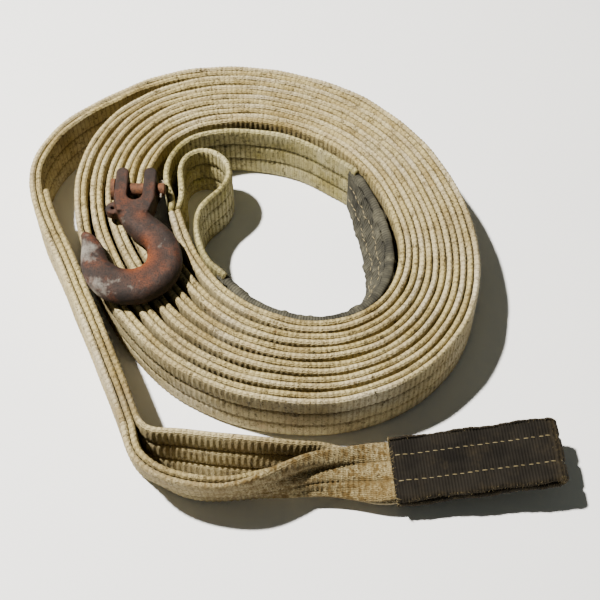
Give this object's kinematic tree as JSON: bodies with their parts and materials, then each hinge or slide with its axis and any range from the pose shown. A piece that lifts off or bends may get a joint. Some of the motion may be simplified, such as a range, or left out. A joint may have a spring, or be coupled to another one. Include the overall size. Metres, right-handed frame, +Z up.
{
  "type": "rolled webbing winch strap with clevis hook",
  "caption": "Two-ply webbing recovery strap rolled on its edge, with a sleeved eye at each end and a forged clevis hook lying on the roll.",
  "frame": {"origin": "middle of the part's bounding box, on the floor that the rolled strap stands on", "axes": "+Z up, along the width of the webbing; +X to the right, the way the outer eye points; +Y away, from the outer eye towards the roll"},
  "size_m": [0.3942, 0.3832, 0.0684],
  "materials": {
    "webbing_cream": "matte, worn, ribbed weave",
    "webbing_khaki": "matte, worn, ribbed weave",
    "webbing_brown": "matte, dirty, ribbed weave",
    "sleeve_grey": "matte, crumpled",
    "sleeve_dark": "matte, fine ribs",
    "thread": "matte, stitched",
    "rusty_forging": "rusted",
    "rusty_pin": "rusted",
    "bright_wire": "dull, spotted with rust"
  },
  "bodies": {
    "strap": {"coil_outer_ply": "webbing_cream", "coil_inner_ply": "webbing_khaki", "lead_outer_ply": "webbing_cream", "lead_inner_ply": "webbing_khaki", "tail_ply": "webbing_khaki", "seam_thread_upper": "thread", "seam_thread_lower": "thread", "inner_eye_bar_tacks": "thread", "inner_eye_upper_leg": "webbing_khaki", "inner_eye_bight": "webbing_khaki", "inner_eye_lower_leg": "webbing_khaki", "inner_eye_sleeve": "sleeve_grey", "inner_sleeve_stitching": "thread", "outer_eye_bar_tacks": "thread", "outer_eye_front_leg": "webbing_brown", "outer_eye_second_layer": "webbing_khaki", "outer_eye_back_leg": "webbing_brown", "outer_eye_bight": "webbing_brown", "outer_eye_sleeve": "sleeve_dark", "outer_sleeve_stitching": "thread"},
    "hook": {"hook_shank": "rusty_forging", "hook_back": "rusty_forging", "hook_base": "rusty_forging", "hook_tip": "rusty_forging"},
    "pin": {"clevis_pin": "rusty_pin"},
    "cotter": {"split_pin": "bright_wire"}
  },
  "joints": [
    {"name": "hook_lift", "type": "slide", "parent": "strap", "child": "hook", "axis": [0, 0, 1], "range_m": [0, 0.06]},
    {"name": "clevis_pin_turn", "type": "hinge", "parent": "hook", "child": "pin", "pos_m": [-0.1107, 0.05153, 0.0594], "axis": [1, 0, 0], "continuous": true},
    {"name": "split_pin_pull", "type": "slide", "parent": "pin", "child": "cotter", "axis": [0, 1, 0], "range_m": [0, 0.018]}
  ]
}
